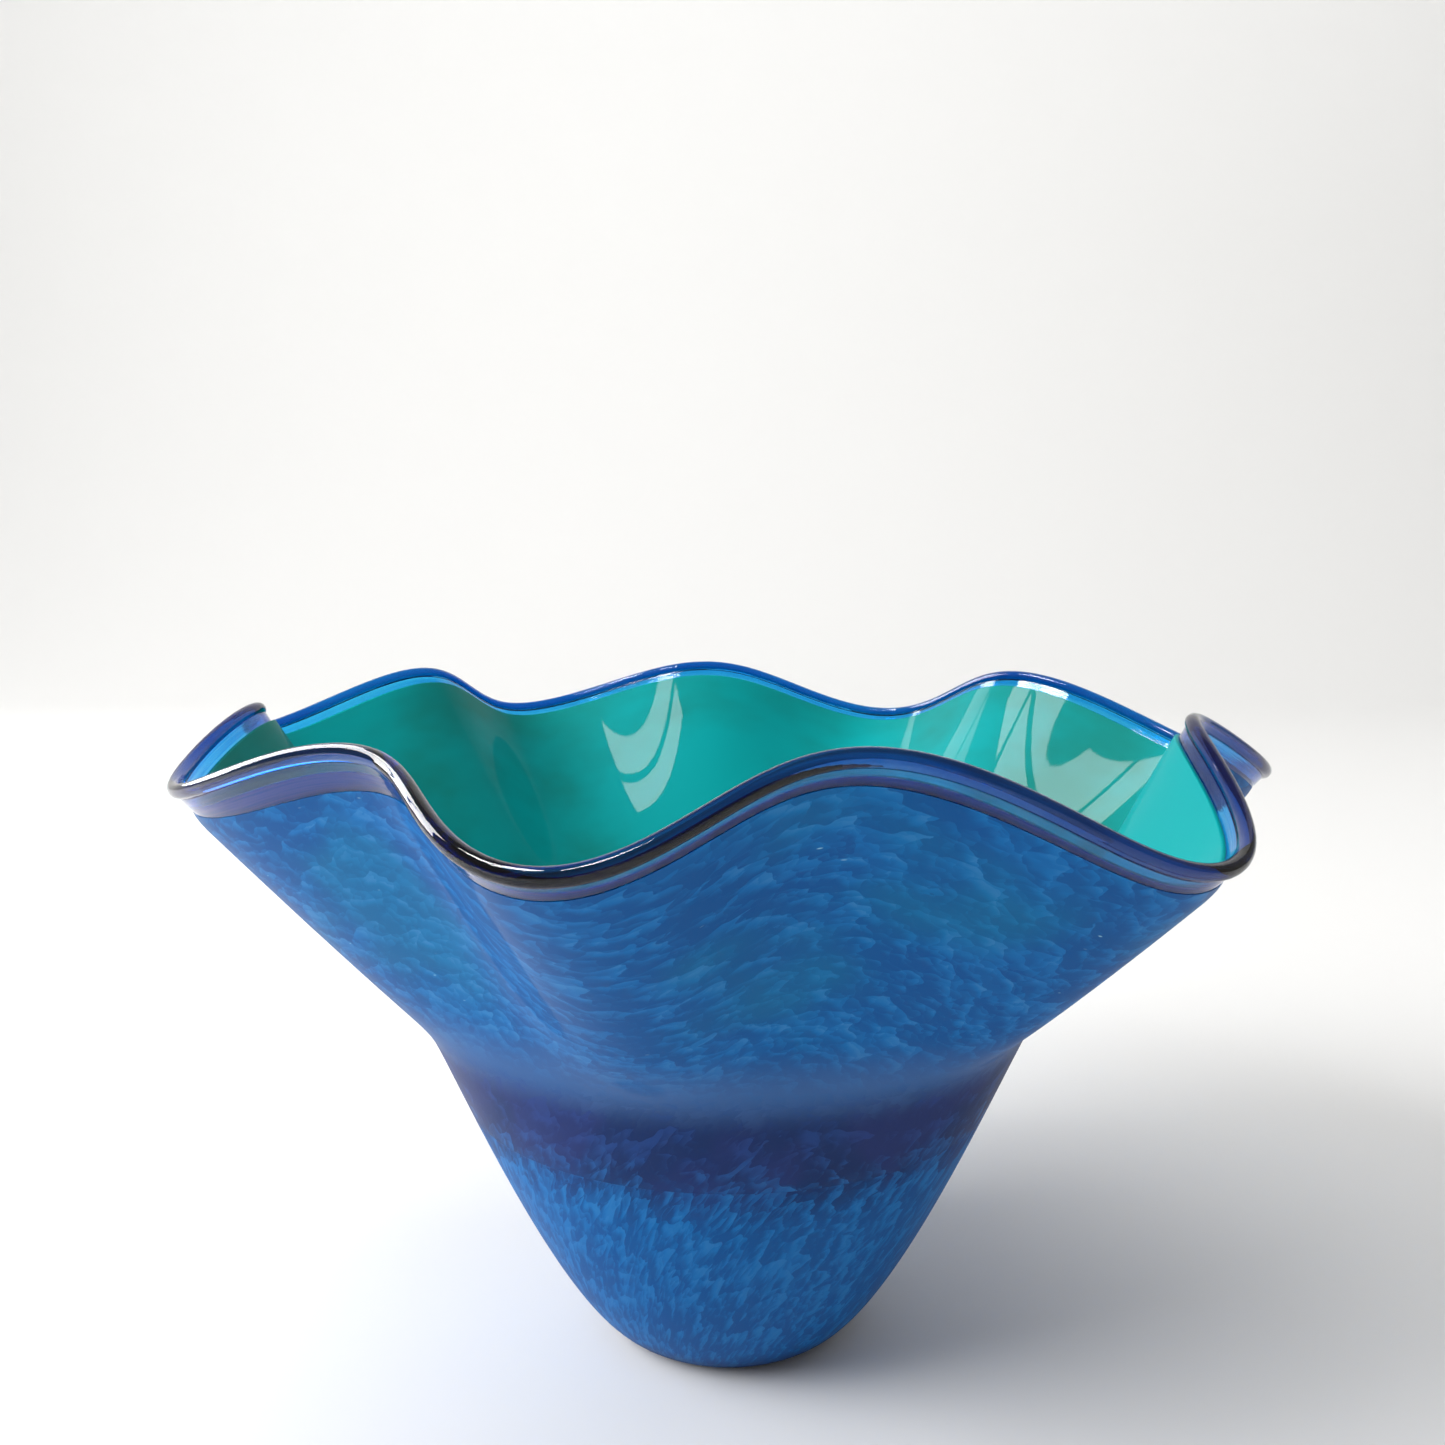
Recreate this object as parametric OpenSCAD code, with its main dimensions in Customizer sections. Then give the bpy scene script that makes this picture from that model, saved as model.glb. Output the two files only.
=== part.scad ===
// Ruffled art glass bowl, blown in layers. Millimetres, +Z up, base centre at the origin.
// A thin coat of crushed glass lies on a clear blue gather lined with opaque turquoise.
// The gather ends in a thick rounded lip that waves up and down and in and out.

/* [Cup] */
// radius of the flat the bowl stands on
foot_radius = 27; // [20:1:34]
// how far the heel runs out before it turns up
heel_run = 17; // [8:1:22]
// radius where the cup bends out into the flare
waist_radius = 81; // [72:1:88]
// height of that bend
waist_height = 91; // [82:1:102]
// slope of the cup side just below the bend, in degrees
waist_slope = 64; // [60:1:74]
// length of side that holds that slope
waist_hold = 16; // [12:1:34]
// thickness of the glass at the middle of the base
base_thickness = 9; // [7:0.5:12]

/* [Flare] */
// length of the bend from cup to flare
bend_hold = 3; // [1:0.5:8]
// length of the flare that holds its direction below the lip
flare_hold = 74; // [50:1:80]
// lip height at which the flare runs straight
level_lip = 162; // [150:1:174]
// how many degrees the flare bends for each millimetre a dip is under that height
bend_rate = 0.2; // [0:0.02:0.6]

/* [Rim] */
// the seven crests and seven dips, going round: [direction, reach, height]
rim = [
    [8, 153, 148],
    [44, 135, 171],
    [67, 151, 152],
    [93, 137, 171],
    [121, 150, 155],
    [138, 138, 172],
    [162, 152, 157],
    [177, 130, 169],
    [202, 140, 156],
    [237.5, 130, 173],
    [259, 160.5, 158.5],
    [278, 144, 177],
    [311, 146, 149],
    [339, 118, 172]
];
// diameter of the rounded lip
lip_diameter = 3.6; // [3:0.1:5.2]

/* [Glass layers] */
// thickness of the mottled coat
coat = 0.8; // [0.4:0.1:1.2]
// thickness of the clear blue gather
gather = 1.8; // [1.4:0.1:2.4]
// thickness of the turquoise lining
lining_coat = 1; // [0.6:0.1:1.6]
// distance from the lip at which the mottled coat stops
coat_stop = 8; // [7:0.5:14]
// distance from the lip at which the lining stops
lining_stop = 6.5; // [5:0.5:9]
// radius of the ground disc under the base
punty_radius = 11; // [8:1:14]
// depth of that disc
punty_depth = 2; // [1.5:0.5:3]

/* [Hidden] */
columns_per_wave = 6;
bead_steps = 9;
step = 0.01;
extremes = len(rim);
columns = extremes * columns_per_wave;
cup_rows = [0, 0.08, 0.18, 0.32, 0.47, 0.6, 0.72, 0.86, 1];
flare_rows = [0.26, 0.42, 0.57, 0.71, 0.83];
cup_top = len(cup_rows) - 1;
band_row = 6;
flare_top = cup_top + len(flare_rows);
lip_radius = lip_diameter / 2;
bead_flat = sqrt(lip_radius * lip_radius - gather * gather / 4);
lip_rows = [coat_stop, lining_stop, lip_radius + bead_flat];
coat_row = flare_top + 1;
lining_row = flare_top + 2;
lip_row = flare_top + 3;
depths = [0, coat, coat + gather, coat + gather + lining_coat];
mid_gather = coat + gather / 2;
inner_foot = foot_radius - 8;
inner_run = heel_run + 4;
waist_lean = [cos(waist_slope), sin(waist_slope)];
waist_out = [sin(waist_slope), -cos(waist_slope)];
waist_point = [waist_radius, waist_height];

coat_colour = [0.11, 0.36, 0.68];
band_colour = [0.16, 0.13, 0.38];
gather_colour = [0.05, 0.42, 0.8, 0.6];
lining_colour = [0.16, 0.66, 0.62];
punty_colour = [0.3, 0.6, 0.82, 0.6];

function unit(v) = v / norm(v);
function mix(a, b, f) = a + (b - a) * f;
function curve(p, t) =
    p[0] * pow(1 - t, 3) + p[1] * 3 * t * pow(1 - t, 2) + p[2] * 3 * t * t * (1 - t) + p[3] * pow(t, 3);

// the lip line at column x: [direction, reach, height], easing from one extreme to the next
function around(x) = x < 0 ? x + columns : (x >= columns ? x - columns : x);
function lip_line(x) =
    let (w = around(x) / columns_per_wave)
    let (k = floor(w))
    let (a = rim[k])
    let (b = rim[(k + 1) % extremes])
    let (turn = k == extremes - 1 ? 360 : 0)
    let (ease = (1 - cos(180 * (w - k))) / 2)
    [mix(a[0], b[0] + turn, w - k), mix(a[1], b[1], ease), mix(a[2], b[2], ease)];
function spin(q, a) = [q[0] * cos(a), q[0] * sin(a), q[1]];

// the cup is round: an outer curve and an inner curve, each [radius, height]
outer_cup = [
    [foot_radius, 0],
    [foot_radius + heel_run, 0],
    waist_point - waist_lean * waist_hold,
    waist_point
];
waist_inside = waist_point - waist_out * depths[3];
inner_cup = [
    [inner_foot, base_thickness],
    [inner_foot + inner_run, base_thickness],
    waist_inside - waist_lean * waist_hold,
    waist_inside
];
function curve_out(p, t) =
    let (a = max(t - step, 0))
    let (b = min(t + step, 1))
    let (d = unit(curve(p, b) - curve(p, a)))
    [d[1], -d[0]];
function cup_point(t, level) =
    level < 2
        ? curve(outer_cup, t) - curve_out(outer_cup, t) * depths[level]
        : curve(inner_cup, t) + curve_out(inner_cup, t) * (depths[3] - depths[level]);

// the flare: from the bend to the lip in each direction
function flare_curve(l) =
    let (end = [l[1], l[2]])
    let (chord = atan2(l[2] - waist_height, l[1] - waist_radius))
    let (start = (waist_slope + chord) / 2)
    let (finish = chord + (level_lip - l[2]) * bend_rate)
    [
        waist_point,
        waist_point + [cos(start), sin(start)] * bend_hold,
        end - [cos(finish), sin(finish)] * flare_hold,
        end
    ];
function flare_point(x, t) =
    let (l = lip_line(x))
    spin(curve(flare_curve(l), t), l[0]);
function flare_along(x, t) = unit(flare_point(x, min(t + step, 1)) - flare_point(x, t - step));
function flare_out(x, t) = unit(cross(flare_point(x + step, t) - flare_point(x - step, t), flare_along(x, t)));
function flare_layer(x, t, depth) = flare_point(x, t) - flare_out(x, t) * depth;

// close to the lip the rows run square to the lip line
function lip_out(x) = flare_out(x, 1);
function lip_up(x) = unit(cross(lip_out(x), flare_point(x + step, 1) - flare_point(x - step, 1)));
function lip_layer(x, down, depth) = flare_point(x, 1) - lip_up(x) * down - lip_out(x) * depth;
function bead_centre(x) = lip_layer(x, lip_radius, mid_gather);
function bead_point(x, a) = bead_centre(x) + (lip_up(x) * cos(a) + lip_out(x) * sin(a)) * lip_radius;

// rows of points: row number counts up from the heel, level counts in from the outside
function ring(q) = [for (x = [0:columns - 1]) spin(q, lip_line(x)[0])];
function row(n, level) =
    n <= cup_top
        ? ring(cup_point(cup_rows[n], level))
        : n <= flare_top
            ? [for (x = [0:columns - 1]) flare_layer(x, flare_rows[n - cup_top - 1], depths[level])]
            : [for (x = [0:columns - 1]) lip_layer(x, lip_rows[n - flare_top - 1], depths[level])];
function rows_up(from, to, level) = [for (n = [from:to]) row(n, level)];
function rows_down(from, to, level) = [for (n = [from:-1:to]) row(n, level)];
function bead_row(a) = [for (x = [0:columns - 1]) bead_point(x, a)];

// two triangles between neighbouring rows; the slant flips on the way down so layers meet
function strip(r, s, rising) = [
    for (c = [0:columns - 1])
        let (d = (c + 1) % columns)
        let (p = [r * columns + c, r * columns + d, s * columns + d, s * columns + c])
        each rising
            ? [[p[0], p[2], p[1]], [p[0], p[3], p[2]]]
            : [[p[0], p[3], p[1]], [p[1], p[3], p[2]]]
];
function cap(r, bottom) = [for (c = [0:columns - 1]) r * columns + (bottom ? c : columns - 1 - c)];

// a ring of glass whose section is a closed loop of rows
module loop_solid(rows, rising_rows) {
    last = len(rows) - 1;
    points = [for (r = rows) each r];
    sides = [for (r = [0:last - 1]) each strip(r, r + 1, r < rising_rows)];
    polyhedron(points, concat(sides, strip(last, 0, true)), convexity = 12);
}

// a bowl of glass closed by a flat disc at its first row and at its last row
module bowl_solid(rows, rising_rows) {
    last = len(rows) - 1;
    points = [for (r = rows) each r];
    sides = [for (r = [0:last - 1]) each strip(r, r + 1, r < rising_rows)];
    polyhedron(points, concat(sides, [cap(0, true), cap(last, false)]), convexity = 12);
}

// opaque turquoise layer inside the bowl, from the floor to just under the lip
module lining() {
    color(lining_colour)
        bowl_solid(concat(rows_up(0, lining_row, 2), rows_down(lining_row, 0, 3)), lining_row);
}

// clear blue gather that carries the other layers and shows as a band under the lip
module blue_gather() {
    recess = [ring([punty_radius, punty_depth]), ring([punty_radius, coat])];
    outside = concat(recess, rows_up(0, lip_row, 1));
    color(gather_colour)
        bowl_solid(concat(outside, rows_down(lip_row, 0, 2)), len(outside) - 1);
}

// fire-polished round bead along the lip
module lip_bead() {
    seat = 180 - asin(gather / lip_diameter);
    angles = [for (i = [0:bead_steps]) seat * (1 - 2 * i / bead_steps)];
    color(gather_colour)
        loop_solid([for (a = angles) bead_row(a)], bead_steps);
}

// mottled blue coat on the flare
module flare_frit() {
    color(coat_colour)
        loop_solid(concat(rows_up(cup_top, coat_row, 0), rows_down(coat_row, cup_top, 1)), coat_row - cup_top);
}

// dark indigo band below the bend
module indigo_band() {
    color(band_colour)
        loop_solid(concat(rows_up(band_row, cup_top, 0), rows_down(cup_top, band_row, 1)), cup_top - band_row);
}

// mottled blue coat on the lower cup and under the base, up to the ground disc
module foot_frit() {
    outside = concat([ring([punty_radius, 0])], rows_up(0, band_row, 0));
    inside = concat(rows_down(band_row, 0, 1), [ring([punty_radius, coat])]);
    color(coat_colour)
        loop_solid(concat(outside, inside), band_row + 1);
}

// ground and polished disc of clear glass, flush with the base
module punty_glass() {
    color(punty_colour)
        bowl_solid([ring([punty_radius, 0]), ring([punty_radius, coat]), ring([punty_radius, punty_depth])], 2);
}

lining();
blue_gather();
lip_bead();
flare_frit();
indigo_band();
foot_frit();
punty_glass();
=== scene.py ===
"""The looks of the ruffled art glass bowl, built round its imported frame. Metres, +Z up.

The bowl's curves are the ones of the CAD model, drawn again here with more columns and rows:
a round cup, then a flare that opens from the bend at the waist to a waving lip.
"""

import bpy
import numpy as np
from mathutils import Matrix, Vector


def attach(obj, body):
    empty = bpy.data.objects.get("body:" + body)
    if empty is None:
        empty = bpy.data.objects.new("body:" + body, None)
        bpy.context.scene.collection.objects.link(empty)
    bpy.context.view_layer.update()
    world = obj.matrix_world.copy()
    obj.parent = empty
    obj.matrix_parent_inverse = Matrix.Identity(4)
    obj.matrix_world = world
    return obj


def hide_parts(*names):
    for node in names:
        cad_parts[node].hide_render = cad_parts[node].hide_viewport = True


MM = 0.001

# cup
FOOT_RADIUS = 27 * MM
HEEL_RUN = 17 * MM
WAIST_RADIUS = 81 * MM
WAIST_HEIGHT = 91 * MM
WAIST_SLOPE = 64
WAIST_HOLD = 16 * MM
BASE_THICKNESS = 9 * MM
INNER_FOOT = FOOT_RADIUS - 8 * MM
INNER_RUN = HEEL_RUN + 4 * MM

# flare
BEND_HOLD = 3 * MM
FLARE_HOLD = 74 * MM
LEVEL_LIP = 162 * MM
BEND_RATE = 0.2 / MM

# lip: [direction in degrees, reach, height] of its crests and dips, going round, in millimetres
RIM = [
    [8, 153, 148],
    [44, 135, 171],
    [67, 151, 152],
    [93, 137, 171],
    [121, 150, 155],
    [138, 138, 172],
    [162, 152, 157],
    [177, 130, 169],
    [202, 140, 156],
    [237.5, 130, 173],
    [259, 160.5, 158.5],
    [278, 144, 177],
    [311, 146, 149],
    [339, 118, 172],
]
LIP_RADIUS = 1.8 * MM

# glass layers
COAT = 0.8 * MM
GATHER = 1.8 * MM
LINING = 1.0 * MM
COAT_STOP = 7.4 * MM
COAT_DROP = 3.6 * MM  # how much lower the coat stops at one crest
COAT_DROP_AT = 231
COAT_DROP_WIDTH = 24
LINING_STOP = 6.5 * MM
COAT_TAPER = [0.12, 0.4, 0.85]  # how much thinner the coat is in its last rows
LINING_TAPER = [0.75, 0.3, 0.06]  # and the lining, from its edge down
PUNTY_RADIUS = 11 * MM
PUNTY_DEPTH = 2 * MM
WALL = COAT + GATHER + LINING
BEAD_FLAT = (LIP_RADIUS**2 - GATHER**2 / 4) ** 0.5
BEAD_SEAT = LIP_RADIUS + BEAD_FLAT
FUSE = 0.12 * MM  # how far the opaque layers sink into the clear one, so that it has no gap behind it

# mesh
WAVE_STEPS = 27
FOOT_STEPS = 44
BAND_STEPS = 14
FLARE_STEPS = 52
COAT_EDGE_STEPS = 6
LIP_STEPS = 8
BEAD_STEPS = 22
BAND_TOP = 1.0
BAND_FOOT = 0.72
BEND_SMOOTHINGS = 16
BEND_ROWS = 7.0  # how many rows each side of the bend are smoothed
PROFILE_STEPS = 200
EXTREMES = len(RIM)
COLUMNS = EXTREMES * WAVE_STEPS
CUP_TOP = FOOT_STEPS + BAND_STEPS
FLARE_TOP = CUP_TOP + FLARE_STEPS
LINING_TOP = FLARE_TOP + COAT_EDGE_STEPS
LIP_TOP = LINING_TOP + LIP_STEPS
PATTERN_UNIT = 120 * MM  # the length down the bowl that counts as 1 in the patterns


# ---------------------------------------------------------------- curves


def unit(v):
    return v / np.linalg.norm(v, axis=-1, keepdims=True)


def mix(a, b, f):
    return a + (b - a) * f


def smooth(f):
    f = np.clip(f, 0, 1)
    return f * f * (3 - 2 * f)


def heading(degrees):
    """(cos, sin) of an angle in degrees, along a new last axis."""
    a = np.radians(degrees)
    return np.stack([np.cos(a), np.sin(a)], -1)


def curve(points, t):
    """A cubic curve steered by four arrays of 2-D points, with t along the second-last axis."""
    t = np.asarray(t)[:, None]
    a, b, c, d = [np.asarray(p)[..., None, :] for p in points]
    return a * (1 - t) ** 3 + b * 3 * t * (1 - t) ** 2 + c * 3 * t * t * (1 - t) + d * t**3


def soften_round(values, width):
    """Averages a closed run of values over its neighbours, so that reflections run smoothly."""
    reach = int(3 * width)
    weights = np.exp(-0.5 * (np.arange(-reach, reach + 1) / width) ** 2)
    weights = weights / weights.sum()
    return sum(w * np.roll(values, s) for w, s in zip(weights, range(-reach, reach + 1)))


def lip_line():
    """Direction in degrees, reach and height of the lip at each column."""
    x = np.arange(COLUMNS) / WAVE_STEPS
    k = x.astype(int)
    table = np.array(RIM + [[RIM[0][0] + 360] + RIM[0][1:]], float)
    a, b = table[k], table[k + 1]
    ease = (1 - np.cos(np.pi * (x - k))) / 2
    even = 360 * x / EXTREMES
    turn = even + soften_round(mix(a[:, 0], b[:, 0], x - k) - even, WAVE_STEPS / 5)
    reach = soften_round(mix(a[:, 1], b[:, 1], ease), WAVE_STEPS / 8)
    height = soften_round(mix(a[:, 2], b[:, 2], ease), WAVE_STEPS / 8)
    return turn, reach * MM, height * MM


def even_steps(line, count, upto):
    """Points at even distances along each polyline (columns x n x 2), up to a length of upto."""
    lengths = np.linalg.norm(np.diff(line, axis=1), axis=-1)
    along = np.concatenate([np.zeros((len(line), 1)), np.cumsum(lengths, 1)], 1)
    out = np.empty((len(line), count + 1, 2))
    for i, (s, p) in enumerate(zip(along, line)):
        at = np.linspace(0, upto[i], count + 1)
        out[i] = np.stack([np.interp(at, s, p[:, 0]), np.interp(at, s, p[:, 1])], -1)
    return out


def spin(profile, turn):
    """[radius, height] points turned to each column's direction: columns x rows x 3."""
    profile = np.broadcast_to(profile, (len(turn),) + profile.shape[-2:])
    d = heading(turn)[:, None]
    return np.concatenate([profile[..., :1] * d, profile[..., 1:]], -1)


def surface_out(grid):
    """Outward normals of a grid of columns x rows x 3 that closes round its columns."""
    across = np.roll(grid, -1, 0) - np.roll(grid, 1, 0)
    return unit(np.cross(across, np.gradient(grid, axis=1)))


# ---------------------------------------------------------------- the bowl's surfaces


def cup_profile(steps):
    """The outer curve of the round cup, from the foot to the waist."""
    lean = heading(WAIST_SLOPE)
    waist = np.array([WAIST_RADIUS, WAIST_HEIGHT])
    points = [[FOOT_RADIUS, 0], [FOOT_RADIUS + HEEL_RUN, 0], waist - lean * WAIST_HOLD, waist]
    return curve(np.array(points), steps)


def cup_inside(steps):
    """The inner curve of the cup, which leaves the base thick."""
    lean = heading(WAIST_SLOPE)
    out = np.array([lean[1], -lean[0]])
    waist = np.array([WAIST_RADIUS, WAIST_HEIGHT]) - out * WALL
    floor = [[INNER_FOOT, BASE_THICKNESS], [INNER_FOOT + INNER_RUN, BASE_THICKNESS]]
    return curve(np.array(floor + [list(waist - lean * WAIST_HOLD), list(waist)]), steps)


def flare_profiles(reach, height):
    """The outer curve of the flare in each column, from the waist to the lip."""
    waist = np.broadcast_to([WAIST_RADIUS, WAIST_HEIGHT], (len(reach), 2))
    end = np.stack([reach, height], -1)
    chord = np.degrees(np.arctan2(height - WAIST_HEIGHT, reach - WAIST_RADIUS))
    start = (WAIST_SLOPE + chord) / 2
    finish = chord + (LEVEL_LIP - height) * BEND_RATE
    points = [waist, waist + heading(start) * BEND_HOLD, end - heading(finish) * FLARE_HOLD, end]
    return curve(points, np.linspace(0, 1, PROFILE_STEPS + 1))


class Bowl:
    """The reference surface, which is the outside of the mottled coat, and the layers inside it."""

    def __init__(self):
        self.turn, reach, height = lip_line()
        flare = flare_profiles(reach, height)
        lip = spin(flare, self.turn)
        tangent = unit(lip[:, -1] - lip[:, -8])
        along = unit(np.roll(lip[:, -1], -1, 0) - np.roll(lip[:, -1], 1, 0))
        self.lip = lip[:, -1]
        self.lip_out = unit(np.cross(along, tangent))
        self.lip_up = unit(np.cross(self.lip_out, along))
        square = np.sum(self.lip_up * tangent, -1)

        self.cup_steps = np.concatenate(
            [np.linspace(0, BAND_FOOT, FOOT_STEPS + 1), np.linspace(BAND_FOOT, BAND_TOP, BAND_STEPS + 1)[1:]]
        )
        cup = np.broadcast_to(cup_profile(self.cup_steps), (COLUMNS, CUP_TOP + 1, 2))
        length = np.linalg.norm(np.diff(flare, axis=1), axis=-1).sum(1)
        stop = self.coat_stop()
        body = even_steps(flare, FLARE_STEPS, length - stop / square)
        self.profile = self.soften_bend(np.concatenate([cup, body[:, 1:]], 1))
        self.grid = spin(self.profile, self.turn)

        rows = []
        for down in self.lip_distances(stop):
            share = smooth((down - BEAD_SEAT) / (stop - BEAD_SEAT))[:, None]
            on_meridian = self.lip - tangent * (down / square)[:, None]
            rows.append(mix(self.lip - self.lip_up * down[:, None], on_meridian, share))
        self.grid = np.concatenate([self.grid, np.stack(rows, 1)], 1)
        self.out = surface_out(self.grid)
        self.out[:, -1] = self.lip_out
        self.wrap = self.wrap_coordinates()

    def coat_stop(self):
        """How far below the lip the coat stops in each column: unevenly, as laid by hand."""
        away = (self.turn - COAT_DROP_AT + 180) % 360 - 180
        a = np.radians(self.turn)
        wander = 0.3 * MM * (np.sin(5 * a + 1) + np.sin(11 * a + 4))
        return COAT_STOP + COAT_DROP * np.exp(-((away / COAT_DROP_WIDTH) ** 2)) + wander

    def lip_distances(self, stop):
        """Distances from the lip of the rows above the coat: down to the lining's stop, then to the bead."""
        lining = np.full(COLUMNS, LINING_STOP)
        edge = np.linspace(stop, lining, COAT_EDGE_STEPS + 1)[1:]
        top = np.linspace(lining, np.full(COLUMNS, BEAD_SEAT), LIP_STEPS + 1)[1:]
        return np.concatenate([edge, top])

    def soften_bend(self, profile):
        """Rounds the bend at the waist, which a hot bowl never keeps sharp."""
        rows = np.arange(profile.shape[1])
        near = np.exp(-(((rows - CUP_TOP) / BEND_ROWS) ** 2))[None, :, None]
        for _ in range(BEND_SMOOTHINGS):
            inner = profile[:, 1:-1] * 0.5 + (profile[:, :-2] + profile[:, 2:]) * 0.25
            profile = profile.copy()
            profile[:, 1:-1] = mix(profile[:, 1:-1], inner, near[:, 1:-1])
        return profile

    def wrap_coordinates(self):
        """For the patterns: cosine and sine of the direction, and the distance below the lip."""
        lengths = np.linalg.norm(np.diff(self.grid, axis=1), axis=-1)
        below = np.cumsum(lengths[:, ::-1], 1)[:, ::-1]
        below = np.concatenate([below, np.zeros((COLUMNS, 1))], 1) + BEAD_SEAT
        d = np.broadcast_to(heading(self.turn)[:, None], below.shape + (2,))
        return np.concatenate([d, below[..., None] / PATTERN_UNIT], -1)

    def layer(self, rows, depth):
        """Points of the reference rows sunk by depth, and the cup's rows eased to its own inner curve."""
        grid = self.grid[:, rows] - self.out[:, rows] * depth
        if depth <= COAT + FUSE:
            return grid
        t = self.cup_steps
        inside = cup_inside(t)
        back = np.gradient(inside, axis=0)
        back = unit(np.stack([back[:, 1], -back[:, 0]], -1))
        cup = spin(inside + back * (WALL - depth), self.turn)
        keep = smooth((1 - t) / 0.35)[None, :, None]
        for i, row in enumerate(rows):
            if row <= CUP_TOP:
                grid[:, i] = mix(grid[:, i], cup[:, row], keep[:, row])
        return grid

    def ring(self, radius, height):
        """A flat circle of points."""
        return spin(np.array([[radius, height]]), self.turn)

    def bead(self):
        """Rows round the lip's bead, from its outer seat over the top to its inner seat."""
        seat = np.pi - np.arcsin(GATHER / 2 / LIP_RADIUS)
        angles = np.linspace(seat, -seat, BEAD_STEPS + 1)
        centre = self.lip - self.lip_up * LIP_RADIUS - self.lip_out * (COAT + GATHER / 2)
        away = [self.lip_up * np.cos(a) + self.lip_out * np.sin(a) for a in angles]
        return np.stack([centre + v * LIP_RADIUS for v in away], 1), np.stack(away, 1)


# ---------------------------------------------------------------- meshes


def make_mesh(name, sheets, closed):
    """A solid from sheets of rows, each (points, wrap, side, normals), that run on from one to the next.
    The solid closes from the last row to the first, or with a flat disc at each end."""
    points = np.concatenate([s[0] for s in sheets], 1)
    rows = points.shape[1]
    number = np.arange(COLUMNS * rows).reshape(COLUMNS, rows)
    beside = np.roll(number, -1, 0)
    pairs = [(r, r + 1) for r in range(rows - 1)] + ([(rows - 1, 0)] if closed else [])
    quads = [np.stack([number[:, a], beside[:, a], beside[:, b], number[:, b]], -1) for a, b in pairs]
    faces = [tuple(f) for q in quads for f in q.tolist()]
    if not closed:
        faces.append(tuple(number[::-1, 0].tolist()))
        faces.append(tuple(number[:, -1].tolist()))
    mesh = bpy.data.meshes.new(name)
    mesh.from_pydata(points.reshape(-1, 3).tolist(), [], faces)
    bends = set(np.cumsum([s[0].shape[1] for s in sheets]) - 1) if closed else set()
    flat = [b for b in bends if b != rows - 1] + ([rows - 1] if closed else [])
    smooth_faces = [len(f) == 4 and i // COLUMNS not in flat for i, f in enumerate(faces)]
    mesh.polygons.foreach_set("use_smooth", smooth_faces)
    if closed:
        normals = np.concatenate([s[3] for s in sheets], 1).reshape(-1, 3)
        corners_of = [(f, v) for f, face in enumerate(faces) for v in face]
        mesh.update()
        faces_out = [tuple(p.normal) for p in mesh.polygons]
        mesh.normals_split_custom_set(
            [tuple(normals[v]) if smooth_faces[f] else faces_out[f] for f, v in corners_of]
        )
    return mesh


def add_attribute(mesh, name, kind, values):
    key = "vector" if kind == "FLOAT_VECTOR" else "value"
    flat = np.ascontiguousarray(values, np.float32).ravel()
    mesh.attributes.new(name, kind, "POINT").data.foreach_set(key, flat)


def make_piece(name, sheets, closed, material, node):
    """One piece of glass that rides on the bowl's body and stands for its CAD node."""
    mesh = make_mesh(name, sheets, closed)
    add_attribute(mesh, "wrap", "FLOAT_VECTOR", np.concatenate([s[1] for s in sheets], 1))
    sides = [np.full(s[0].shape[:2], s[2], float) for s in sheets]
    add_attribute(mesh, "inside", "FLOAT", np.concatenate(sides, 1))
    mesh.materials.append(material)
    piece = bpy.data.objects.new(name, mesh)
    bpy.context.scene.collection.objects.link(piece)
    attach(piece, "root")
    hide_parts(node)
    return piece


def rows_up(low, high):
    return list(range(low, high + 1))


def rows_down(high, low):
    return list(range(high, low - 1, -1))


def sheet(bowl, rows, depth, side):
    """Rows of the bowl at a depth inside its outer surface. Side is 0 for an outer face, 1 for an inner."""
    out = bowl.out[:, rows] * (1 - 2 * side)
    return bowl.layer(rows, depth), bowl.wrap[:, rows], side, out


def ring_sheet(bowl, radius, height, side):
    down = np.zeros((COLUMNS, 1, 3)) + [0, 0, 2 * side - 1]
    return bowl.ring(radius, height), bowl.wrap[:, :1], side, down


def make_coat(bowl, name, low, high, material, node):
    """A stretch of the mottled coat. Where it ends under the lip it thins out to nothing much."""
    outer = rows_up(low, high)
    points, wrap, side, out = sheet(bowl, outer, 0.0, 0)
    if high == FLARE_TOP:
        thin = np.zeros(len(outer))
        thin[-3:] = COAT_TAPER
        points = points - bowl.out[:, outer] * (COAT * thin)[None, :, None]
    sheets = [(points, wrap, side, out), sheet(bowl, rows_down(high, low), COAT + FUSE, 1)]
    if low == 0:
        sheets.insert(0, ring_sheet(bowl, PUNTY_RADIUS, 0.0, 0))
        sheets.append(ring_sheet(bowl, PUNTY_RADIUS, COAT, 1))
    return make_piece(name, sheets, True, material, node)


def make_lining(bowl, material):
    back = sheet(bowl, rows_up(0, LINING_TOP), COAT + GATHER - FUSE, 0)
    front, wrap, side, out = sheet(bowl, rows_down(LINING_TOP, 0), WALL, 1)
    thin = np.zeros(front.shape[1])
    thin[:3] = LINING_TAPER
    front = front + bowl.out[:, rows_down(LINING_TOP, 0)] * (LINING * thin)[None, :, None]
    sheets = [back, (front, wrap, side, out)]
    return make_piece("turquoise_lining", sheets, False, material, "lining")


def make_gather(bowl, material):
    sheets = [
        ring_sheet(bowl, PUNTY_RADIUS, PUNTY_DEPTH, 0),
        ring_sheet(bowl, PUNTY_RADIUS, COAT, 0),
        sheet(bowl, rows_up(0, LIP_TOP), COAT, 0),
        sheet(bowl, rows_down(LIP_TOP, 0), COAT + GATHER, 1),
    ]
    return make_piece("clear_gather", sheets, False, material, "blue_gather")


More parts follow.
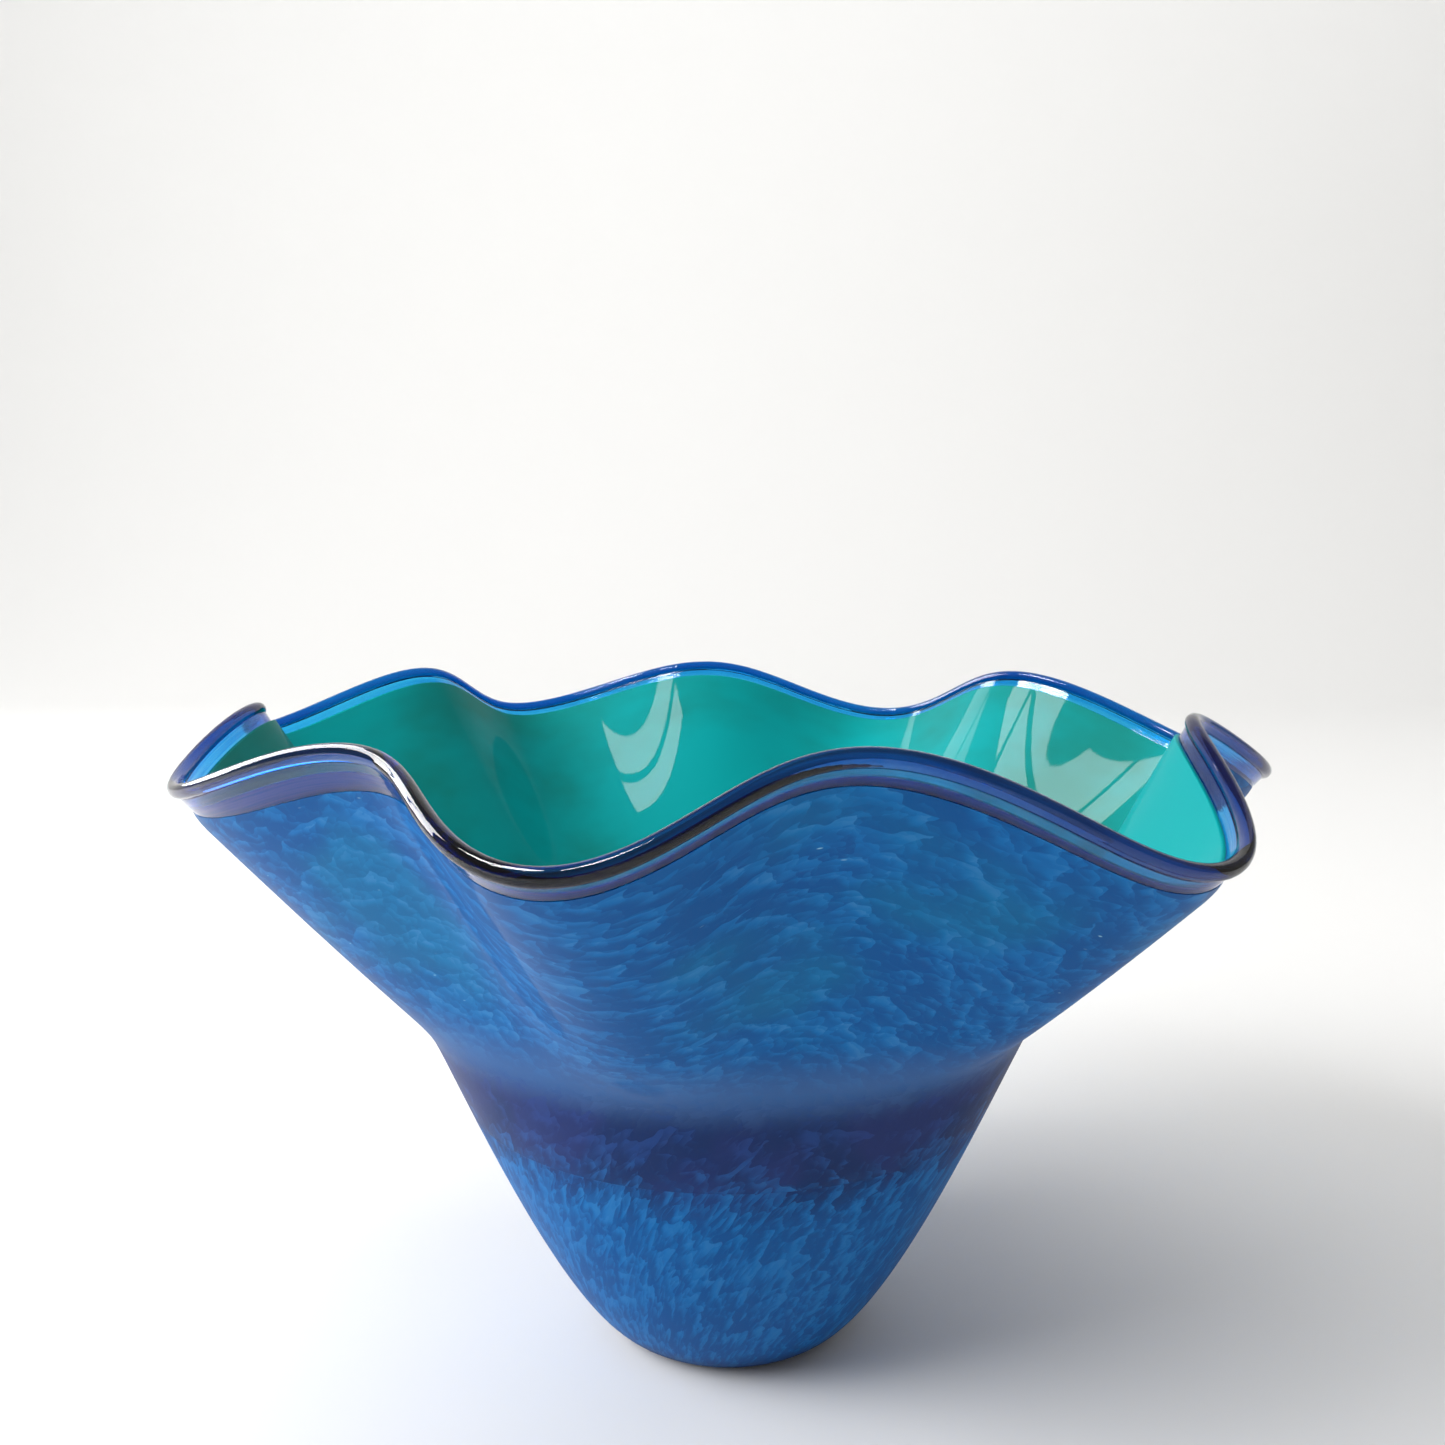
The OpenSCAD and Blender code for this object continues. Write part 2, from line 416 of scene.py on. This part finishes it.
def make_bead(bowl, material):
    points, out = bowl.bead()
    wrap = np.repeat(bowl.wrap[:, -1:], points.shape[1], 1)
    return make_piece("rounded_lip", [(points, wrap, 0, out)], True, material, "lip_bead")


def make_punty(bowl, material):
    rings = [(PUNTY_RADIUS - 0.3 * MM, 0.0), (PUNTY_RADIUS, 0.3 * MM), (PUNTY_RADIUS, PUNTY_DEPTH)]
    sheets = [ring_sheet(bowl, r, z, 0) for r, z in rings]
    return make_piece("ground_disc", sheets, False, material, "punty_glass")


# ---------------------------------------------------------------- materials


class Shader:
    """A material's nodes, with short calls for the ones that the glass uses."""

    def __init__(self, name):
        self.material = bpy.data.materials.new(name)
        self.material.use_nodes = True
        self.tree = self.material.node_tree
        self.surface = self.tree.nodes["Principled BSDF"]
        self.output = self.tree.nodes["Material Output"]

    def node(self, kind, inputs=None, **settings):
        node = self.tree.nodes.new("ShaderNode" + kind)
        for key, value in settings.items():
            setattr(node, key, value)
        for key, value in (inputs or {}).items():
            if isinstance(value, bpy.types.NodeSocket):
                self.tree.links.new(value, node.inputs[key])
            else:
                node.inputs[key].default_value = value
        return node

    def set(self, **values):
        for key, value in values.items():
            socket = self.surface.inputs[key.replace("_", " ")]
            if isinstance(value, bpy.types.NodeSocket):
                self.tree.links.new(value, socket)
            else:
                socket.default_value = value

    def wrap(self, scale):
        """The bowl's wrapped coordinates, scaled: first two round the bowl, third down from the lip."""
        attribute = self.node("Attribute", attribute_name="wrap")
        return self.node("Mapping", {"Vector": attribute.outputs["Vector"], "Scale": scale}).outputs[0]

    def twisted(self, turns):
        """The wrapped coordinates, turned more the lower they lie, so that a pattern leans."""
        attribute = self.node("Attribute", attribute_name="wrap").outputs["Vector"]
        down = self.node("SeparateXYZ", {0: attribute}).outputs["Z"]
        angle = self.math("MULTIPLY", down, turns)
        inputs = {"Vector": attribute, "Angle": angle}
        return self.node("VectorRotate", inputs, rotation_type="Z_AXIS").outputs[0]

    def value(self, name):
        return self.node("Attribute", attribute_name=name).outputs["Fac"]

    def height(self):
        place = self.node("TexCoord").outputs["Object"]
        return self.node("SeparateXYZ", {0: place}).outputs["Z"]

    def noise(self, vector, scale, detail=4.0, roughness=0.55):
        inputs = {"Vector": vector, "Scale": scale, "Detail": detail, "Roughness": roughness}
        return self.node("TexNoise", inputs).outputs["Fac"]

    def math(self, operation, a, b=0.0):
        return self.node("Math", {0: a, 1: b}, operation=operation).outputs[0]

    def span(self, value, low, high, to_low=0.0, to_high=1.0):
        """Maps low..high to to_low..to_high, eased and held at its ends."""
        inputs = {"Value": value, "From Min": low, "From Max": high, "To Min": to_low, "To Max": to_high}
        return self.node("MapRange", inputs, interpolation_type="SMOOTHSTEP").outputs["Result"]

    def blend(self, factor, a, b):
        node = self.node("Mix", data_type="RGBA")
        for socket, value in ((node.inputs[0], factor), (node.inputs[6], a), (node.inputs[7], b)):
            if isinstance(value, bpy.types.NodeSocket):
                self.tree.links.new(value, socket)
            else:
                socket.default_value = value
        return node.outputs[2]

    def bump(self, height, distance, strength=1.0):
        inputs = {"Height": height, "Distance": distance, "Strength": strength}
        return self.node("Bump", inputs).outputs["Normal"]


def rgb(r, g, b):
    return (r, g, b, 1.0)


COBALT = rgb(0.006, 0.145, 0.430)
DEEP = rgb(0.004, 0.085, 0.290)
PALE = rgb(0.045, 0.240, 0.520)
TEAL = rgb(0.006, 0.180, 0.330)
# grey-blue of the painted sheen at the waist's bend
BEND_SHEEN = rgb(0.055, 0.130, 0.320)
INDIGO = rgb(0.012, 0.048, 0.200)
NAVY = rgb(0.006, 0.026, 0.115)
VIOLET = rgb(0.030, 0.038, 0.190)
SEED = rgb(0.250, 0.550, 0.650)
TURQUOISE = rgb(0.002, 0.330, 0.340)
SEA_GREEN = rgb(0.006, 0.215, 0.190)
LINING_BACK = rgb(0.160, 0.460, 0.900)
GATHER_BLUE = rgb(0.0, 0.74, 0.92)
LIP_BLUE = rgb(0.0, 0.76, 0.90)
CLEAR_DARK = rgb(0.15, 0.65, 0.90)
CLEAR_LIGHT = rgb(0.55, 0.97, 1.0)

# the chips of each coat: how many across a radius, how many down a unit, twist and lean
FLARE_CHIPS = (15.0, 24.0, 0.5, 0.6)
BAND_CHIPS = (12.0, 16.0, 1.1, 0.6)
FOOT_CHIPS = (17.0, 15.0, 1.1, 0.8)
CHIP_PUSH = 1.6  # how far soft waves push the chips out of shape

# gloss, weaker than real glass because the studio wall is brighter than a room
GLASS_INDEX = 1.42
CLEAR_SHINE = 0.2
GATHER_DENSITY = 1600.0
LIP_DENSITY = 2600.0
PUNTY_DENSITY = 300.0


def chip_layer(s, place, along, down, lean):
    """Melted chips of glass: a value that climbs across each one, to a sharp edge where the next starts."""
    size = s.node("Mapping", {"Vector": place, "Scale": (along, along, down)}).outputs[0]
    waves = s.node("TexNoise", {"Vector": size, "Scale": 0.8, "Detail": 2.0, "Roughness": 0.5})
    push = {0: waves.outputs["Color"], 1: (CHIP_PUSH,) * 3, 2: size}
    pushed = s.node("VectorMath", push, operation="MULTIPLY_ADD").outputs[0]
    cells = s.node("TexVoronoi", {"Vector": pushed, "Scale": 1.0})
    offset = s.node("VectorMath", {0: pushed, 1: cells.outputs["Position"]}, operation="SUBTRACT").outputs[0]
    beside = s.node("VectorMath", {0: (0, 0, 1), 1: place}, operation="CROSS_PRODUCT").outputs[0]
    across = s.node("VectorMath", {0: offset, 1: beside}, operation="DOT_PRODUCT").outputs["Value"]
    fall = s.node("SeparateXYZ", {0: offset}).outputs["Z"]
    climb = s.math("SUBTRACT", s.math("MULTIPLY", across, lean), fall)
    shade = s.node("SeparateColor", {0: cells.outputs["Color"]}).outputs[0]
    own = s.math("MULTIPLY", s.math("SUBTRACT", shade, 0.5), 0.5)
    return s.math("ADD", s.span(climb, -0.15, 0.75), own)


def mottle(s, along, down, twist, lean):
    """The coat's mottle, from about 0, dark, to about 1, pale: chips of two sizes over soft clouds."""
    place = s.twisted(twist)
    large = chip_layer(s, place, along, down, lean)
    small = chip_layer(s, place, along * 2.1, down * 1.7, lean)
    clouds = s.noise(s.wrap((4.0, 4.0, 5.0)), 1.0, 3.0, 0.6)
    chips = s.math("ADD", s.math("MULTIPLY", large, 0.45), s.math("MULTIPLY", small, 0.25))
    return s.math("ADD", chips, s.span(clouds, 0.3, 0.7, 0.0, 0.3))


def seeds(s):
    """Small bright flecks, here and there."""
    cell = s.node("TexVoronoi", {"Vector": s.wrap((1.0, 1.0, 3.0)), "Scale": 26.0})
    near = s.span(cell.outputs["Distance"], 0.05, 0.16, 1.0, 0.0)
    lucky = s.node("SeparateColor", {0: cell.outputs["Color"]}).outputs[0]
    return s.math("MULTIPLY", near, s.span(lucky, 0.955, 1.0))


def coat_material(name, chips):
    """The mottled coat in its zones: blue foot, indigo band and blue flare, with a painted grey-blue sheen
    just above the waist's bend and painted shade along the foot's bottom edge.
    """
    s = Shader(name)
    pattern = mottle(s, *chips)
    ragged = s.math("MULTIPLY", s.math("SUBTRACT", pattern, 0.5), 11 * MM)
    height = s.math("SUBTRACT", s.height(), ragged)
    blue = s.blend(s.span(pattern, 0.1, 0.62), DEEP, COBALT)
    drift = s.noise(s.wrap((2.2, 2.2, 3.0)), 1.0, 2.0, 0.5)
    high = s.span(s.height(), WAIST_HEIGHT + 10 * MM, WAIST_HEIGHT + 35 * MM)
    blue = s.blend(s.math("MULTIPLY", s.span(drift, 0.5, 0.68, 0.0, 0.4), high), blue, TEAL)
    blue = s.blend(s.span(pattern, 0.5, 0.95, 0.0, 0.45), blue, PALE)
    blue = s.blend(s.math("MULTIPLY", seeds(s), high), blue, SEED)
    # painted sheen: a grey-blue band all round the bowl, strongest just above the waist's bend and gone 20
    # mm above the waist
    low = s.span(s.height(), WAIST_HEIGHT + 4 * MM, WAIST_HEIGHT + 20 * MM, 0.75, 0.0)
    blue = s.blend(low, blue, BEND_SHEEN)
    dark = s.blend(s.span(pattern, 0.2, 0.8), NAVY, INDIGO)
    dark = s.blend(s.span(drift, 0.45, 0.6, 0.0, 0.3), dark, VIOLET)
    soft = s.math("SUBTRACT", s.height(), s.math("MULTIPLY", s.math("SUBTRACT", pattern, 0.5), 5 * MM))
    below = s.span(soft, WAIST_HEIGHT - 6 * MM, WAIST_HEIGHT + 7 * MM, 1.0, 0.0)
    colour = s.blend(below, blue, dark)
    foot = s.blend(s.span(pattern, 0.12, 0.6), DEEP, COBALT)
    foot = s.blend(s.span(pattern, 0.45, 0.95, 0.0, 0.26), foot, PALE)
    # painted shade: the foot darkens towards navy over its lowest 10 mm, where the heel curves under towards
    # the floor
    foot = s.blend(s.span(s.height(), 1 * MM, 10 * MM, 0.8, 0.0), foot, NAVY)
    colour = s.blend(s.span(height, 56 * MM, 77 * MM, 1.0, 0.0), colour, foot)
    s.set(Base_Color=colour, Roughness=0.5, Specular_IOR_Level=0.03)
    s.set(Normal=s.bump(pattern, 0.1 * MM, 0.5))
    return s


def foot_material():
    s = coat_material("foot_glass", FOOT_CHIPS)
    s.set(Coat_Weight=0.15, Coat_Roughness=0.3)
    return s.material


def band_material():
    s = coat_material("band_glass", BAND_CHIPS)
    s.set(Coat_Weight=0.2, Coat_Roughness=0.2)
    return s.material


def flare_material():
    s = coat_material("flare_glass", FLARE_CHIPS)
    s.set(Coat_Weight=0.13, Coat_Roughness=0.05)
    return s.material


def lining_material():
    s = Shader("lining_glass")
    clouds = s.noise(s.wrap((1.6, 1.6, 2.4)), 1.0, 4.0, 0.55)
    base = s.blend(s.span(clouds, 0.35, 0.65), SEA_GREEN, TURQUOISE)
    base = s.blend(s.value("inside"), LINING_BACK, base)
    s.set(Base_Color=base, Roughness=0.5, Specular_IOR_Level=0.02, Coat_Weight=0.13, Coat_Roughness=0.02)
    ripple = s.noise(s.wrap((5.0, 5.0, 6.0)), 1.0, 2.0, 0.5)
    s.set(Normal=s.bump(ripple, 0.4 * MM, 0.4))
    return s.material


def clear_material(name, density, colour=GATHER_BLUE, roughness=0.0):
    """Clear blue glass: the colour deepens with the thickness that the light crosses."""
    s = Shader(name)
    striae = s.noise(s.wrap((2.5, 2.5, 130.0)), 1.0, 3.0, 0.6)
    s.set(Base_Color=s.blend(s.span(striae, 0.38, 0.62), CLEAR_DARK, CLEAR_LIGHT))
    s.set(Roughness=roughness, Transmission_Weight=1.0, IOR=GLASS_INDEX, Specular_IOR_Level=CLEAR_SHINE)
    s.set(Normal=s.bump(striae, 0.06 * MM, 0.6))
    body = s.node("VolumeAbsorption", {"Color": colour, "Density": density})
    s.tree.links.new(body.outputs[0], s.output.inputs["Volume"])
    return s.material


# ---------------------------------------------------------------- stage, lights and camera

WINDOW_BAR = 0.03
FLOOR_COLOUR = rgb(0.87, 0.868, 0.858)
FLOOR_FRONT = -3.0
WALL_TOP = 3.5
WORLD_COLOUR = rgb(1.0, 0.985, 0.96)
WORLD_STRENGTH = 0.24
CAMERA_PLACE = (-0.0016, -0.357, 0.207)
CAMERA_DOWN = 6.7  # degrees below level
CAMERA_LENS = 33.6
CAMERA_SENSOR = 36


def make_stage():
    """A pale floor that curves up into a pale wall."""
    half, back, bend = 3.0, 1.6, 0.9
    angles = np.linspace(0, np.pi / 2, 25)
    rise = [(back + bend * np.sin(a), bend * (1 - np.cos(a))) for a in angles]
    profile = [(FLOOR_FRONT, 0.0)] + rise + [(back + bend, WALL_TOP)]
    points = [(x, y, z) for y, z in profile for x in (-half, half)]
    faces = [(2 * i, 2 * i + 1, 2 * i + 3, 2 * i + 2) for i in range(len(profile) - 1)]
    mesh = bpy.data.meshes.new("studio_floor")
    mesh.from_pydata(points, [], faces)
    mesh.polygons.foreach_set("use_smooth", [True] * len(faces))
    s = Shader("studio_floor")
    s.set(Base_Color=FLOOR_COLOUR, Roughness=0.9)
    mesh.materials.append(s.material)
    floor = bpy.data.objects.new("studio_floor", mesh)
    bpy.context.scene.collection.objects.link(floor)


def make_light(name, place, size, power, aim=(0, 0, 0.1), mirrored=False):
    """A soft rectangular light aimed at a point. Only the mirrored ones show as highlights in the glass."""
    lamp = bpy.data.lights.new(name, "AREA")
    lamp.shape = "RECTANGLE"
    lamp.size, lamp.size_y = size
    lamp.energy = power
    light = bpy.data.objects.new(name, lamp)
    light.location = place
    light.visible_camera = False
    light.visible_diffuse = not mirrored
    light.visible_glossy = mirrored
    light.visible_transmission = mirrored
    light.rotation_euler = (Vector(aim) - Vector(place)).to_track_quat("-Z", "Y").to_euler()
    bpy.context.scene.collection.objects.link(light)


def make_window(name, centre, size, panes, power):
    """A window of panes with bars between them, which the glass mirrors and which lights nothing."""
    columns, rows = panes
    facing = (Vector((0, 0, 0.14)) - Vector(centre)).normalized()
    side = facing.cross(Vector((0, 0, 1))).normalized()
    up = side.cross(facing)
    width, height = size[0] / columns, size[1] / rows
    for i in range(columns):
        for j in range(rows):
            across = (i - (columns - 1) / 2) * width
            along = (j - (rows - 1) / 2) * height
            place = Vector(centre) + side * across + up * along
            pane = (width - WINDOW_BAR, height - WINDOW_BAR)
            make_light(name, place, pane, power / (columns * rows), place + facing, True)


def make_lights():
    make_light("key", (-1.5, -0.5, 1.15), (1.2, 1.2), 46)
    make_window("window_left", (-0.72, 0.05, 1.40), (0.52, 0.40), (2, 2), 16.0)
    make_window("window_front", (-0.42, -0.46, 1.50), (0.28, 0.26), (2, 1), 5.2)
    make_window("window_back", (-1.57, 0.98, 0.89), (1.18, 1.3), (3, 1), 50.0)
    make_light("ceiling", (0.0, 0.4, 2.7), (2.8, 2.2), 15, aim=(0, 0.4, 0))
    make_light("backdrop_light", (0.0, 0.3, 2.6), (7.5, 0.8), 56, aim=(0, 2.5, 0.9))
    world = bpy.data.worlds.new("studio")
    world.use_nodes = True
    world.node_tree.nodes["Background"].inputs["Color"].default_value = WORLD_COLOUR
    world.node_tree.nodes["Background"].inputs["Strength"].default_value = WORLD_STRENGTH
    bpy.context.scene.world = world


def make_camera():
    data = bpy.data.cameras.new("camera")
    data.sensor_width = CAMERA_SENSOR
    data.lens = CAMERA_LENS
    camera = bpy.data.objects.new("camera", data)
    camera.location = CAMERA_PLACE
    camera.rotation_euler = (np.radians(90 - CAMERA_DOWN), 0, 0)
    bpy.context.scene.collection.objects.link(camera)
    bpy.context.scene.camera = camera


def make_bowl():
    bowl = Bowl()
    make_lining(bowl, lining_material())
    make_gather(bowl, clear_material("gather_glass", GATHER_DENSITY))
    make_bead(bowl, clear_material("lip_glass", LIP_DENSITY, LIP_BLUE))
    make_coat(bowl, "flare_coat", CUP_TOP, FLARE_TOP, flare_material(), "flare_frit")
    make_coat(bowl, "band_coat", FOOT_STEPS, CUP_TOP, band_material(), "indigo_band")
    make_coat(bowl, "foot_coat", 0, FOOT_STEPS, foot_material(), "foot_frit")
    make_punty(bowl, clear_material("punty_glass", PUNTY_DENSITY, roughness=0.15))


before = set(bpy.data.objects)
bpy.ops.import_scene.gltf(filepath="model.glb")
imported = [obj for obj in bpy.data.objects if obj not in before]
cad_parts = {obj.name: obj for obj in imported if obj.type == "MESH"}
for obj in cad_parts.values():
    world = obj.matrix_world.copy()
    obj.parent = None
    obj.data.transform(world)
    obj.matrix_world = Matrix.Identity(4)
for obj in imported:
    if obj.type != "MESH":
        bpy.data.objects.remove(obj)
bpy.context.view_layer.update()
make_bowl()
make_stage()
make_lights()
make_camera()
bpy.context.scene.view_settings.view_transform = "Standard"
